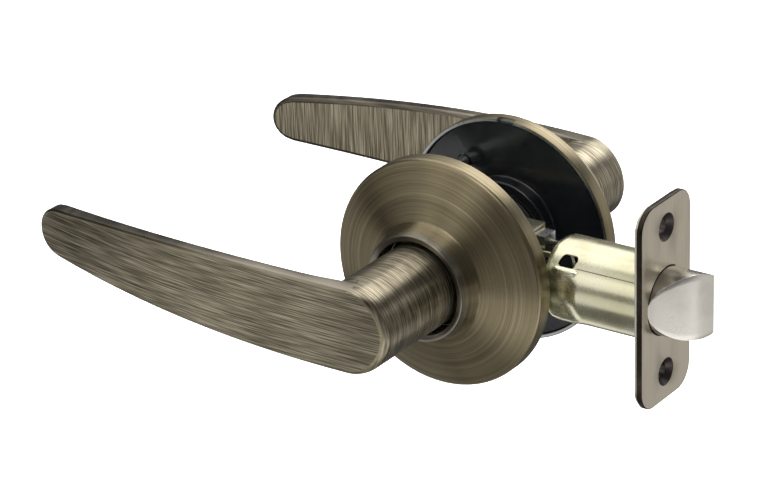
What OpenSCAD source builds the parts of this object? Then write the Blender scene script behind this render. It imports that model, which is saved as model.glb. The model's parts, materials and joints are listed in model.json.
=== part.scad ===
// Tubular door lever set: two levers on round rosettes, and a spring latch between them.
// Origin: where the spindle's axis meets the latch's axis.
// +X runs along the latch to the door's edge, -Y is the exterior side, +Z is up.

/* [Door] */
// From the spindle's axis to the outer face of the latch faceplate
backset = 60.3; // [58:0.1:62]
// From the latch's axis to the exterior rosette's door face
exterior_face = 11.8; // [11.8:0.1:14]
// From the latch's axis to the interior rosette's door face
interior_face = 17.7; // [17.7:0.1:20]

/* [Rosettes] */
// Radius of each rosette
rosette_r = 32.2; // [31:0.1:34]
// Height of a rosette's straight rim
rim_h = 3.7; // [3:0.1:4.2]
// Thickness of the stamped sheet
sheet = 1; // [0.8:0.1:1.1]
// Radius of the collar at its foot
collar_r = 16.2; // [16:0.1:17]
// Height of the collar's foot above the door
collar_foot = 10; // [9.8:0.1:10.4]
// Height of the collar's lip above the door
collar_lip = 16; // [15:0.1:17]

/* [Levers] */
// From the spindle's axis to a lever's tip
lever_length = 105.6; // [95:0.1:115]
// How far a lever's outer face stands off the door
lever_reach = 48.9; // [47:0.1:52]
// Thickness of a blade at its middle
blade_thick = 4.5; // [4:0.1:6]
// Radius of a lever's round neck
neck_r = 11.9; // [11.4:0.1:12]
// Play that lets the exterior lever stand above level, in degrees
exterior_rise = 2.6; // [0:0.1:3]
// How much deeper the interior lever sits on its hub
interior_seat = 1.9; // [0:0.1:1.9]

/* [Latch] */
// Radius of the latch tube
tube_r = 11.5; // [11:0.1:11.6]
// Radius of the latch bolt
bolt_r = 9.25; // [9:0.05:9.4]
// How far the bolt's tip stands out of the faceplate
bolt_throw = 11.7; // [11:0.1:12.7]
// Width of the faceplate
faceplate_w = 25.4; // [25.4:0.1:28.6]
// Height of the faceplate
faceplate_h = 57.15; // [55:0.05:60]
// Distance between the faceplate's two screw holes
faceplate_screws = 41.3; // [40:0.1:42]

/* [Spindle and fasteners] */
// Width of the square spindle
spindle_w = 7.2; // [7:0.1:7.4]
// Radius of the circle on which the mounting posts stand
post_circle_r = 22; // [22:0.1:22.4]
// Radius of a mounting post
post_r = 3.2; // [3:0.1:3.4]

/* [Hidden] */

$fn = 96;
cut = 0.5;                     // how far a cutting tool runs past a face
plate_low = 0.8;               // mounting plate, above the door face
plate_top = 2.2;
boss_r = 15;                   // boss that enters the door's bore
boss_low = -2.7;
journal_r = 8.55;
bearing_r = 8.6;
ring_room_r = 12;              // room for the retaining ring in the boss
tooth_r = 31.1;                // teeth round the exterior mounting plate
tooth_t = 1.1;
tooth_w = 2.5;
tooth_bite = 1.1;              // how far the teeth stand past the door face
tooth_pitch = 9.5;
tooth_clear = 28.5;            // angle without teeth, on each side of the latch tube
land_low = -0.9;               // foot of the bearing land
ring_t = 0.8;
ring_low = -1.9;
groove_r = 7.55;
flange_low = 3.5;
flange_top = 5;
flange_r = 12;
shank_r = 8;
shank_top = 29;
hub_bore_top = 24;
spindle_fit = 0.05;            // gap on each side of the spindle, in its own hub
spindle_slip = 0.15;           // and in the hubs that it slides through
socket_fit = 0.05;
socket_top = 30;
neck_foot = 10;
set_screw_w = 22;              // height of the set screw above the door
set_screw_r = 2;
cage_wall_r = 15.2;
cage_t = 0.8;
cage_top = 8.2;
lug_half = 12;                 // half angle of the hub's stop lug
lever_turn = 60;
stop_gap = 1.5;
stop_half = 6;
spring_wire_r = 0.55;
spring_r = 13.6;
spring_low = 5.7;
spring_turns = 2;
spring_pitch = 1.15;
face_bow_r = 373;              // bow of a lever's outer face, seen from above
face_bow_x = -36;
back_bow_r = 300;
back_bow_x = -38;
blade_edge_r = 1000;           // bow of a lever's upper and lower edges, tangent to its neck
tip_r = 6.85;
post_angle = 130;
post_bore_r = 2.05;
screw_r = 1.95;
post_reach = 24.8;
faceplate_t = 1.5;
backplate_t = 1;
faceplate_corner = 6.35;
tube_start = 28.3;
tube_wall = 0.9;
tube_round = 2.8;
tube_tail_hole_r = 5.9;
case_back = -17;
case_front = 21;
case_top = 12;
case_y = 4;
case_t = 0.8;
barrel_r = 6.6;                // barrel of the latch hub
barrel_fit = 0.05;
arm_circle_r = 8;
arm_tip_r = 1.6;
arm_angle = 50;
prong_in = 9.9;
prong_out = 11;
fork_y = 2.6;
fork_cross_x = 23;
fork_cross_t = 2;
hook_x = 0.5;
hook_face_x = 3.4;
hook_low = 7.1;
rod_r = 2;
rod_head_r = 3.4;
rod_head_x = 49;
rod_head_t = 1.8;
bolt_tip_x = backset + bolt_throw;
bolt_flat_y = 4.5;             // flat side of the bolt
bolt_back_x = 54.8;
stem_back_x = 47;
stem_r = 5.5;
stem_wall = 1.8;
stem_bore_r = 3.8;
bolt_bore_end_x = 64;
bolt_gap = 0.08;
bevel_r = 40;
bevel_foot_x = backset;
bevel_foot_y = -9;

function arc(cx, cy, r, from, to, steps) =
    [for (i = [0:steps]) let (a = from + (to - from) * i / steps) [cx + r * cos(a), cy + r * sin(a)]];

// Half of the set, drawn with +Z away from the door and the lever towards -X.
module exterior_side() { translate([0, -exterior_face, 0]) rotate([90, 0, 0]) children(); }
module interior_side() { translate([0, interior_face, 0]) rotate([-90, 0, 0]) children(); }

// Sketch on XZ or YZ, thickened about its plane.
module thick_xz(t) { rotate([90, 0, 0]) linear_extrude(t, center = true) children(); }

module along_x(from, to, r) {
    translate([from, 0, 0]) rotate([0, 90, 0]) cylinder(r = r, h = to - from);
}

module ring(low, top, inner, outer) {
    translate([0, 0, low]) difference() {
        cylinder(r = outer, h = top - low);
        translate([0, 0, -cut]) cylinder(r = inner, h = top - low + 2 * cut);
    }
}

// Part of a ring, centred on one angle.
module sector(low, top, inner, outer, middle, half) {
    intersection() {
        ring(low, top, inner, outer);
        rotate([0, 0, middle]) translate([0, 0, low - cut]) linear_extrude(top - low + 2 * cut)
            polygon([[0, 0], 2 * outer * [cos(half), -sin(half)], 2 * outer * [cos(half), sin(half)]]);
    }
}

// Round wire along a helix about Z.
module helix(mean_r, wire_r, low, pitch, turns, per_turn, sides) {
    rings = ceil(turns * per_turn);
    points = [for (i = [0:rings]) let (a = 360 * turns * i / rings, z = low + pitch * turns * i / rings)
        for (j = [0:sides - 1]) let (b = 360 * j / sides, r = mean_r + wire_r * cos(b))
            [r * cos(a), r * sin(a), z + wire_r * sin(b)]];
    walls = [for (i = [0:rings - 1], j = [0:sides - 1]) let (k = (j + 1) % sides)
        [i * sides + j, i * sides + k, (i + 1) * sides + k, (i + 1) * sides + j]];
    caps = [[for (j = [sides - 1:-1:0]) j], [for (j = [0:sides - 1]) rings * sides + j]];
    polyhedron(points, concat(walls, caps), convexity = 10);
}

// Rosette: straight rim, shallow dome, steep collar with a rolled lip.
module rosette() {
    dome = [
        [rosette_r, 0], [rosette_r, rim_h], [rosette_r - 0.35, rim_h + 0.75],
        [rosette_r - 1.2, rim_h + 1.25], [27, 6.5], [22, 8.2], [18.2, 9.3],
        [collar_r + 0.6, collar_foot - 0.2], [collar_r, collar_foot + 0.6],
        [15.1, collar_lip - 1.2], [14.6, collar_lip - 0.2], [14, collar_lip],
        [13.4, collar_lip - 0.3], [13.3, collar_lip - 1]
    ];
    under = [
        [14.1, collar_foot + 0.4], [15.2, collar_foot - 0.8], [17.8, 9.2 - sheet], [22, 8.1 - sheet],
        [27, 6.4 - sheet], [rosette_r - 1.5, rim_h + 1 - sheet],
        [rosette_r - sheet, rim_h - 0.2], [rosette_r - sheet, 0]
    ];
    rotate_extrude() polygon(concat(dome, under));
}

// Flat plate behind a rosette, with the boss and the bearing of the lever hub.
module mounting_plate(screw_angle, hole_r) {
    difference() {
        union() {
            translate([0, 0, plate_low]) cylinder(r = rosette_r - sheet, h = plate_top - plate_low);
            translate([0, 0, boss_low]) cylinder(r = boss_r, h = plate_low - boss_low);
        }
        translate([0, 0, boss_low - cut]) cylinder(r = ring_room_r, h = land_low - boss_low + cut);
        translate([0, 0, boss_low]) cylinder(r = bearing_r, h = plate_top - boss_low + cut);
        for (a = [screw_angle, screw_angle + 180])
            rotate([0, 0, a]) translate([post_circle_r, 0, 0]) cylinder(r = hole_r, h = plate_top + cut);
    }
}

// Cup that holds the return spring, with the two stops of the lever hub.
module spring_cage() {
    stop_angle = lever_turn + lug_half + stop_gap + stop_half;
    difference() {
        union() {
            ring(plate_top, cage_top, cage_wall_r, cage_wall_r + cage_t);
            ring(plate_top, plate_top + cage_t, cage_wall_r, cage_wall_r + 3);
        }
        rotate([0, 0, -90]) translate([cage_wall_r - cut, -1, spring_low + 1.5])
            cube([cage_t + 2 * cut, 2, cage_top]);
    }
    for (side = [-1, 1])
        sector(plate_top, flange_top, flange_r + 0.6, cage_wall_r, 90 + side * stop_angle, stop_half);
}

module thrust_washer() { ring(plate_top + 0.05, plate_top + 0.6, journal_r + 0.5, flange_r - 0.4); }

// Return spring: one leg bends in to the hub, the other bends out to the cage.
module return_spring() {
    top = spring_low + spring_turns * spring_pitch;
    rotate([0, 0, -90]) {
        helix(spring_r, spring_wire_r, spring_low, spring_pitch, spring_turns, 30, 8);
        translate([spring_r - 3.4, 0, spring_low]) rotate([0, 90, 0]) cylinder(r = spring_wire_r, h = 3.4, $fn = 16);
        translate([spring_r, 0, top]) rotate([0, 90, 0]) cylinder(r = spring_wire_r, h = 2.3, $fn = 16);
    }
}

// Hub: journal in the mounting plate, stop flange, shank in the lever's neck.
module lever_hub(down) {
    difference() {
        union() {
            translate([0, 0, boss_low + 0.1]) cylinder(r = journal_r, h = flange_low - boss_low - 0.1);
            translate([0, 0, flange_low]) cylinder(r = flange_r, h = flange_top - flange_low);
            translate([0, 0, flange_top]) cylinder(r = shank_r, h = shank_top - flange_top);
            sector(flange_low, flange_top, flange_r - 1, cage_wall_r - 0.5, 90, lug_half);
            sector(flange_top, flange_top + 1.4, shank_r, flange_r, -80, 4);
        }
        ring(ring_low - 0.05, ring_low + ring_t + 0.05, groove_r, journal_r + cut);
        hub_square(down);
        translate([0, 0, set_screw_w]) rotate([-90 * down, 0, 0]) translate([0, 0, 5.9])
            cylinder(r = set_screw_r + 0.1, h = shank_r);
    }
}

module hub_square(down) {
    gap = down < 0 ? spindle_fit : spindle_slip;
    side = spindle_w + 2 * gap;
    translate([-side / 2, -side / 2, boss_low - cut]) cube([side, side, hub_bore_top - boss_low + cut]);
}

module retaining_ring() {
    difference() {
        ring(ring_low, ring_low + ring_t, groove_r + 0.05, ring_room_r - 1);
        translate([0, -2, ring_low - cut]) cube([ring_room_r, 4, ring_t + 2 * cut]);
    }
}

// Bowed blade: what lies between two upright cylinders, cut to the outline seen from the front.
module blade(depth) {
    difference() {
        linear_extrude(2 * lever_reach) blade_outline();
        translate([back_bow_x, 0, depth - blade_thick - back_bow_r]) rotate([90, 0, 0])
            cylinder(r = back_bow_r, h = 2 * neck_r + 4, center = true, $fn = 400);
    }
}

module blade_outline() {
    square_x = -lever_length + tip_r - 0.7;
    intersection() {
        translate([0, neck_r - blade_edge_r]) circle(blade_edge_r, $fn = 800);
        translate([0, blade_edge_r - neck_r]) circle(blade_edge_r, $fn = 800);
        translate([square_x, -neck_r]) square([-square_x, 2 * neck_r]);
    }
    translate([-lever_length + tip_r, 0]) circle(tip_r);
}

// Neck and blade in one casting, with the socket for the hub.
module lever_casting(seat) {
    difference() {
        intersection() {
            union() {
                translate([0, 0, neck_foot - seat]) cylinder(r = neck_r, h = lever_reach);
                blade(lever_reach - seat);
            }
            translate([face_bow_x, 0, lever_reach - seat - face_bow_r]) rotate([90, 0, 0])
                cylinder(r = face_bow_r, h = 4 * neck_r, center = true, $fn = 400);
        }
        translate([0, 0, neck_foot - seat - cut])
            cylinder(r = shank_r + socket_fit, h = socket_top - neck_foot + seat + cut);
    }
}

// Lever turned by rise, with the set screw's hole on its local side down.
module lever(rise, seat, down) {
    difference() {
        rotate([0, 0, rise]) lever_casting(seat);
        translate([0, 0, set_screw_w]) rotate([-90 * down, 0, 0])
            cylinder(r = set_screw_r + socket_fit, h = neck_r + cut);
    }
}

module set_screw(down) {
    translate([0, 0, set_screw_w]) rotate([-90 * down, 0, 0]) difference() {
        translate([0, 0, 6]) cylinder(r = set_screw_r, h = neck_r - 7);
        translate([0, 0, 8.7]) cylinder(r = 1.1, h = 4, $fn = 6);
    }
}

/* Exterior half */
module exterior_rosette() { color("#6f6650") exterior_side() rosette(); }

// The plate's teeth bite into the door. None stands over the latch tube.
module exterior_mounting_plate() {
    color("#b9bb94") exterior_side() {
        mounting_plate(post_angle, post_r - 0.8);
        for (a = [tooth_clear:tooth_pitch:360 - tooth_clear])
            rotate([0, 0, a]) translate([tooth_r - tooth_t, -tooth_w / 2, -tooth_bite])
                cube([tooth_t, tooth_w, plate_low + tooth_bite]);
    }
}

module exterior_spring_cage() { color("#9fa088") exterior_side() spring_cage(); }
module exterior_thrust_washer() { color("#d8d4c4") exterior_side() thrust_washer(); }
module exterior_return_spring() { color("#8a8a86") exterior_side() return_spring(); }
module exterior_lever() { color("#786d52") exterior_side() lever(-exterior_rise, 0, -1); }
module exterior_lever_hub() { color("#a5a294") exterior_side() lever_hub(-1); }
module exterior_set_screw() { color("#2c2b28") exterior_side() set_screw(-1); }
module exterior_retaining_ring() { color("#6c6c6a") exterior_side() retaining_ring(); }

// Two tapped posts, riveted to the exterior mounting plate.
module mounting_posts() {
    color("#c2c1b4") exterior_side() for (a = [post_angle, post_angle + 180])
        rotate([0, 0, a]) translate([post_circle_r, 0, 0]) difference() {
            union() {
                translate([0, 0, -post_reach]) cylinder(r = post_r, h = post_reach + plate_low);
                cylinder(r = post_r - 0.8, h = plate_top);
                translate([0, 0, plate_top]) cylinder(r = post_r + 0.4, h = 0.8);
            }
            translate([0, 0, -post_reach - cut]) cylinder(r = post_bore_r, h = post_reach - 4 + cut);
        }
}

// Square bar from the exterior hub, through the latch hub, into the interior hub.
module spindle() {
    from = -exterior_face - 20;
    to = interior_face + 20;
    color("#a9a79b") translate([-spindle_w / 2, from, -spindle_w / 2])
        cube([spindle_w, to - from, spindle_w]);
}

/* Interior half */
module interior_rosette() {
    color("#6f6650") interior_side() difference() {
        rosette();
        translate([-2.5, -rosette_r - cut, -cut]) cube([5, sheet + 1, 1.4 + cut]);
    }
}

module interior_liner() { color("#15171a") interior_side() mounting_plate(-post_angle, screw_r + 0.35); }
module interior_spring_cage() { color("#9fa088") interior_side() spring_cage(); }
module interior_thrust_washer() { color("#d8d4c4") interior_side() thrust_washer(); }
module interior_return_spring() { color("#8a8a86") interior_side() mirror([1, 0, 0]) return_spring(); }
module interior_lever() { color("#786d52") interior_side() lever(0, interior_seat, 1); }
module interior_lever_hub() { color("#a5a294") interior_side() mirror([1, 0, 0]) lever_hub(1); }
module interior_set_screw() { color("#2c2b28") interior_side() set_screw(1); }
module interior_retaining_ring() { color("#6c6c6a") interior_side() retaining_ring(); }

// Two machine screws, from the liner into the posts.
module mounting_screws() {
    head_h = 2.2;
    tip = -(interior_face + exterior_face) + 4.8;
    color("#b8b6aa") interior_side() for (a = [-post_angle, -post_angle + 180])
        rotate([0, 0, a]) translate([post_circle_r, 0, 0]) difference() {
            union() {
                translate([0, 0, tip]) cylinder(r = screw_r, h = plate_top - tip);
                translate([0, 0, plate_top]) cylinder(r = 3.6, h = head_h);
            }
            for (b = [45, 135])
                rotate([0, 0, b]) translate([-2, -0.45, plate_top + 0.9]) cube([4, 0.9, head_h]);
        }
}

/* Latch */
module plate_outline(inset) {
    w = faceplate_w / 2 - inset;
    h = faceplate_h / 2 - inset;
    c = faceplate_corner - inset;
    square([2 * (w - c), 2 * h], center = true);
    square([2 * w, 2 * (h - c)], center = true);
    for (x = [-1, 1], y = [-1, 1])
        translate([x * (w - c), y * (h - c)]) circle(c);
}

// Outline with its width along Y and its height along Z, standing out from x towards +X.
module plate_at(x, t, inset) {
    translate([x, 0, 0]) rotate([90, 0, 90]) linear_extrude(t) plate_outline(inset);
}

module latch_faceplate() {
    x = backset - faceplate_t;
    color("#aaa58f") difference() {
        plate_at(x, faceplate_t, 0);
        intersection() {
            along_x(x - cut, backset + cut, bolt_r + bolt_gap);
            translate([x - cut, -tube_r, -tube_r])
                cube([faceplate_t + 2 * cut, tube_r + bolt_flat_y + bolt_gap, 2 * tube_r]);
        }
        for (z = [-1, 1]) translate([0, 0, z * faceplate_screws / 2]) {
            translate([x - 0.01, 0, 0]) rotate([0, 90, 0])
                cylinder(r1 = 2.3, r2 = 3.8, h = faceplate_t + 0.02);
            along_x(x - cut, backset + cut, 2.3);
        }
    }
}

module latch_backplate() {
    x = backset - faceplate_t - backplate_t;
    color("#c4c1ad") difference() {
        plate_at(x, backplate_t, 0.7);
        along_x(x - cut, x + backplate_t + cut, tube_r);
        for (z = [-1, 1]) translate([0, 0, z * faceplate_screws / 2])
            along_x(x - cut, x + backplate_t + cut, 2.3);
    }
}

// Tube with a rounded, closed inner end, and a lanced window on its exterior side.
module latch_tube() {
    length = backset - faceplate_t - tube_start;
    inner = tube_r - tube_wall;
    profile = concat(
        [[tube_tail_hole_r, 0]],
        arc(tube_r - tube_round, tube_round, tube_round, -90, 0, 8),
        [[tube_r, length], [inner, length]],
        arc(inner - tube_round + tube_wall, tube_round, tube_round - tube_wall, 0, -90, 8),
        [[tube_tail_hole_r, tube_wall]]
    );
    color("#c9c48c") difference() {
        translate([tube_start, 0, 0]) rotate([0, 90, 0]) rotate_extrude() polygon(profile);
        rotate([-44, 0, 0]) translate([32.5, -tube_r - cut, -2.2]) cube([5.5, 3, 4.4]);
    }
}

// One stamped half of the hub case. side is -1 for the exterior half and 1 for the interior half.
module case_half(side) {
    y = case_y - case_t;
    difference() {
        union() {
            translate([0, side * (case_y + y) / 2, 0]) thick_xz(case_t) case_outline();
            for (z = [-1, 1])
                translate([case_back, min(0, side * y), z * (case_top - case_t / 2) - case_t / 2])
                    cube([case_front - case_back, y, case_t]);
            translate([case_back, min(0, side * y), -case_top]) cube([case_t, y, 2 * case_top]);
        }
        translate([0, side * case_y, 0]) rotate([90, 0, 0])
            cylinder(r = barrel_r + barrel_fit, h = 3 * case_t, center = true);
        for (z = [-1, 1])
            translate([case_back + 2.8, 0, z * 9]) rotate([90, 0, 0])
                cylinder(r = 1.1, h = 3 * case_y, center = true, $fn = 32);
    }
}

module case_outline() {
    tail = tube_start - case_front;
    translate([case_back, -case_top]) square([case_front - case_back, 2 * case_top]);
    for (z = [-1, 1])
        translate([case_front, z * 6.8 - 0.6]) square([tail, 1.2]);
}

module latch_case_exterior_side() { color("#b6b585") case_half(-1); }
module latch_case_interior_side() { color("#b6b585") case_half(1); }

module case_rivets() {
    color("#9c9b93") for (z = [-1, 1])
        translate([case_back + 2.8, 0, z * 9]) rotate([90, 0, 0]) {
            cylinder(r = 1.1, h = 2 * case_y, center = true, $fn = 32);
            for (side = [-1, 1])
                translate([0, 0, side * (case_y + 0.3)]) cylinder(r = 1.8, h = 0.6, center = true, $fn = 32);
        }
}

// Hub with a square bore and two arms that reach into the retractor's fork.
module latch_hub() {
    side = spindle_w + 2 * spindle_slip;
    color("#adab9e") difference() {
        union() {
            rotate([90, 0, 0]) cylinder(r = barrel_r, h = 2 * case_y + 0.6, center = true);
            for (a = [-1, 1])
                thick_xz(2 * fork_y) rotate(a * arm_angle) {
                    translate([0, -arm_tip_r]) square([arm_circle_r, 2 * arm_tip_r]);
                    translate([arm_circle_r, 0]) circle(arm_tip_r);
                }
        }
        cube([side, 3 * case_y, side], center = true);
    }
}

// Fork over the hub, with a headed rod that pulls the bolt.
module latch_retractor() {
    color("#c6c6c2") {
        thick_xz(2 * fork_y) {
            for (z = [-1, 1]) scale([1, z]) {
                translate([hook_x, prong_in]) square([fork_cross_x - hook_x, prong_out - prong_in]);
                translate([hook_x, hook_low]) square([hook_face_x - hook_x, prong_in - hook_low]);
            }
            translate([fork_cross_x, -prong_out]) square([fork_cross_t, 2 * prong_out]);
        }
        along_x(fork_cross_x + fork_cross_t, rod_head_x, rod_r);
        along_x(rod_head_x, rod_head_x + rod_head_t, rod_head_r);
    }
}

// Bolt: bevelled on the exterior side, flat on the interior side, hollow behind.
module latch_bolt() {
    chord = [bolt_tip_x - bevel_foot_x, bolt_flat_y - bevel_foot_y];
    lean = atan2(chord[1], chord[0]);
    half = asin(norm(chord) / 2 / bevel_r);
    centre = [bevel_foot_x, bevel_foot_y] + bevel_r * [-sin(lean - half), cos(lean - half)];
    color("#d9d4cb") difference() {
        intersection() {
            along_x(bolt_back_x, bolt_tip_x, bolt_r);
            linear_extrude(2 * bolt_r, center = true) {
                intersection() {
                    translate(centre) circle(bevel_r, $fn = 200);
                    translate([backset, -bolt_r]) square([bolt_throw, bolt_r + bolt_flat_y]);
                }
                translate([bolt_back_x, -bolt_r])
                    square([backset - bolt_back_x, bolt_r + bolt_flat_y]);
            }
        }
        along_x(bolt_back_x - cut, bolt_bore_end_x, stem_bore_r);
    }
    color("#d9d4cb") difference() {
        intersection() {
            along_x(stem_back_x, bolt_back_x, stem_r);
            translate([stem_back_x, -stem_r, -stem_r])
                cube([bolt_back_x - stem_back_x, stem_r + bolt_flat_y, 2 * stem_r]);
        }
        along_x(stem_back_x - cut, bolt_back_x + cut, rod_r + 0.08);
        along_x(stem_back_x + stem_wall, bolt_back_x + cut, stem_bore_r);
    }
}

// Compression spring around the bolt's stem, at the length it is squeezed to with the bolt pushed in.
module bolt_spring() {
    wire = 0.5;
    turns = 8;
    to = bolt_back_x - wire;
    from = tube_start + tube_wall + bolt_throw + wire;
    color("#a4a4a0") translate([from, 0, 0]) rotate([0, 90, 0])
        helix(7.4, wire, 0, (to - from) / turns, turns, 24, 6);
}

latch_tube();
latch_faceplate();
latch_backplate();
latch_case_exterior_side();
latch_case_interior_side();
case_rivets();
latch_hub();
latch_retractor();
latch_bolt();
bolt_spring();
exterior_rosette();
exterior_mounting_plate();
exterior_spring_cage();
exterior_thrust_washer();
exterior_return_spring();
mounting_posts();
exterior_lever();
exterior_lever_hub();
exterior_set_screw();
exterior_retaining_ring();
spindle();
interior_rosette();
interior_liner();
interior_spring_cage();
interior_thrust_washer();
interior_return_spring();
mounting_screws();
interior_lever();
interior_lever_hub();
interior_set_screw();
interior_retaining_ring();
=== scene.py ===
"""Looks of a tubular door lever set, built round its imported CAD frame.

Blender objects are in metres. Shapes are worked out in millimetres and scaled where their mesh is made.
Each half of the set is drawn in a local frame: Z away from the door, the lever towards -X.
"""
import json
from math import acos, asin, atan2, cos, hypot, pi, radians, sin, sqrt, tan

import bmesh
import bpy
from mathutils import Matrix, Vector


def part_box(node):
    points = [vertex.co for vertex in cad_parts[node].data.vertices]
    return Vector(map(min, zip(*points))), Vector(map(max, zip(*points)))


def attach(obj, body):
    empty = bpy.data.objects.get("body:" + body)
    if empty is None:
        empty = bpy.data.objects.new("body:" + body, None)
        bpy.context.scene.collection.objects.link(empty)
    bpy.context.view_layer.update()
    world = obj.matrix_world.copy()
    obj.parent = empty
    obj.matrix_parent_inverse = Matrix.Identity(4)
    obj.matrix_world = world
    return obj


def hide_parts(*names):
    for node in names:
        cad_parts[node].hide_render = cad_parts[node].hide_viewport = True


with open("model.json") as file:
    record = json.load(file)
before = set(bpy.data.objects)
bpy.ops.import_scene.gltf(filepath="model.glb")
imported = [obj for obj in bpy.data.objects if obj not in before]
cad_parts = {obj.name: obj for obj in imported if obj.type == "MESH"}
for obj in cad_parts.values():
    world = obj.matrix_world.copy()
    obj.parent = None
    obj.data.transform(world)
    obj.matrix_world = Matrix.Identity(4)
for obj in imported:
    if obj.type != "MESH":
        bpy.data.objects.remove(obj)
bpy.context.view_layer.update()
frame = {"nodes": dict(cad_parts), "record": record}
nodes = frame["nodes"]


# Sizes, in millimetres, from the frame
def low(node):
    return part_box(node)[0] * 1000


def high(node):
    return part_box(node)[1] * 1000


EXTERIOR_FACE = -high("exterior_rosette").y
INTERIOR_FACE = low("interior_rosette").y
ROSETTE_R = high("exterior_rosette").x
LIP_H = -low("exterior_rosette").y - EXTERIOR_FACE
NECK_R = high("interior_lever").x
LEVER_LENGTH = -low("interior_lever").x
EXTERIOR_REACH = -low("exterior_lever").y - EXTERIOR_FACE
INTERIOR_REACH = high("interior_lever").y - INTERIOR_FACE
EXTERIOR_FOOT = -high("exterior_lever").y - EXTERIOR_FACE
INTERIOR_FOOT = low("interior_lever").y - INTERIOR_FACE
PLATE_FRONT = high("latch_faceplate").x
PLATE_BACK = low("latch_faceplate").x
PLATE_W = 2 * high("latch_faceplate").y
PLATE_H = 2 * high("latch_faceplate").z
BACKPLATE_BACK = low("latch_backplate").x
TUBE_R = high("latch_tube").z
TUBE_START = low("latch_tube").x
BOLT_R = high("latch_bolt").z
BOLT_TIP = high("latch_bolt").x
BOLT_FLAT = high("latch_bolt").y

# Sizes that the frame's boxes don't give, also in millimetres
SHEET = 1.0                 # stamped sheet of a rosette
RIM_H = 3.7                 # straight part of a rosette's rim
BLADE_THICK = 4.5
FACE_BOW_R, FACE_BOW_X = 373.0, -36.0   # radius of the face's bow, and where it is highest
BACK_BOW_R, BACK_BOW_X = 300.0, -38.0   # the same for the door side
BLADE_EDGE_R = 1000.0       # bow of a blade's upper and lower edges
TIP_R = 6.85
EXTERIOR_RISE = 2.6         # degrees that the exterior lever stands above level
SOCKET_R, SOCKET_TOP = 8.05, 30.0
SET_SCREW_R, SET_SCREW_H = 2.05, 22.0
POST_CIRCLE_R = 22.0        # circle on which the mounting screws stand
POST_ANGLE = 130            # degrees round it
MOUNT_HOLE_R = 2.3
SCREW_SPACING = 41.3        # faceplate's two screw holes
SCREW_HOLE_R = 2.3
PLATE_CORNER = 6.35
TUBE_WALL = 0.9
TUBE_STEP = 1.25            # degrees between the tube's rows of vertices
SEAM = 31.5 * TUBE_STEP     # degrees above the exterior side, midway between two rows

EXTERIOR = Matrix.Translation((0, -EXTERIOR_FACE / 1000, 0)) @ Matrix.Rotation(pi / 2, 4, "X")
INTERIOR = Matrix.Translation((0, INTERIOR_FACE / 1000, 0)) @ Matrix.Rotation(-pi / 2, 4, "X")


# Mesh helpers
def smoothstep(x, start, end):
    t = min(1.0, max(0.0, (x - start) / (end - start)))
    return t * t * (3 - 2 * t)


def add_object(name, data):
    obj = bpy.data.objects.new(name, data)
    bpy.context.scene.collection.objects.link(obj)
    return obj


def stand_for(obj, body, replaced):
    """Lets an object ride on a body in place of a CAD node."""
    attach(obj, body)
    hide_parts(replaced)


def piece(name, verts, faces, body, replaced, mats, face_mats, place, sharp):
    """Mesh object from millimetre vertices, riding on a body in place of a CAD node."""
    mesh = bpy.data.meshes.new(name)
    mesh.from_pydata([Vector(v) / 1000 for v in verts], [], faces)
    for mat in mats:
        mesh.materials.append(mat)
    if face_mats:
        mesh.polygons.foreach_set("material_index", face_mats)
    clean(mesh)
    finish_shading(mesh, sharp)
    obj = add_object(name, mesh)
    if place is not None:
        obj.matrix_world = place
    stand_for(obj, body, replaced)
    return obj


def clean(mesh):
    """Joins vertices that coincide and turns every face outwards."""
    bm = bmesh.new()
    bm.from_mesh(mesh)
    bmesh.ops.remove_doubles(bm, verts=bm.verts, dist=2e-6)
    bmesh.ops.recalc_face_normals(bm, faces=bm.faces)
    bm.to_mesh(mesh)
    bm.free()


def finish_shading(mesh, sharp):
    """Smooth shading, with edges above an angle in degrees kept sharp."""
    mesh.polygons.foreach_set("use_smooth", [True] * len(mesh.polygons))
    mesh.set_sharp_from_angle(angle=radians(sharp))


def rounded(corners, steps=6):
    """Closed outline through (x, y, fillet radius) corners."""
    most = 0.49                 # of a side, so that the fillets at its two ends both fit
    points = []
    for i, (x, y, radius) in enumerate(corners):
        here = Vector((x, y))
        to_last = Vector(corners[i - 1][:2]) - here
        to_next = Vector(corners[(i + 1) % len(corners)][:2]) - here
        half = to_last.angle(to_next) / 2
        reach = min(radius / tan(half), most * to_last.length, most * to_next.length)
        middle = (to_last.normalized() + to_next.normalized()).normalized()
        centre = here + middle * reach / cos(half)
        start = here + to_last.normalized() * reach - centre
        end = here + to_next.normalized() * reach - centre
        turn = pi - 2 * half
        for k in range(steps + 1):
            a = turn * k / steps
            points.append(tuple(centre + (start * sin(turn - a) + end * sin(a)) / sin(turn)))
    return points


def revolve(outline, angles, height=None):
    """Vertices and quads of a closed (radius, height) outline turned about Z."""
    verts = []
    for a in angles:
        for r, w in outline:
            verts.append((r * cos(a), r * sin(a), height(a, w) if height else w))
    n = len(outline)
    faces = []
    for i in range(len(angles)):
        k = (i + 1) % len(angles)
        for j in range(n):
            m = (j + 1) % n
            faces.append((i * n + j, k * n + j, k * n + m, i * n + m))
    return verts, faces


def even_angles(count):
    return [2 * pi * i / count for i in range(count)]


def cut_holes(obj, cutters):
    """Subtracts closed cutter meshes, given as (vertices in mm, faces), in the object's own frame."""
    for verts, faces in cutters:
        mesh = bpy.data.meshes.new("cutter")
        mesh.from_pydata([Vector(v) / 1000 for v in verts], [], faces)
        clean(mesh)
        cutter = add_object("cutter", mesh)
        cutter.matrix_world = obj.matrix_world
        boolean = obj.modifiers.new("cut", "BOOLEAN")
        boolean.operation = "DIFFERENCE"
        boolean.solver = "EXACT"
        boolean.object = cutter
        apply_modifiers(obj)
        bpy.data.objects.remove(cutter)


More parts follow.
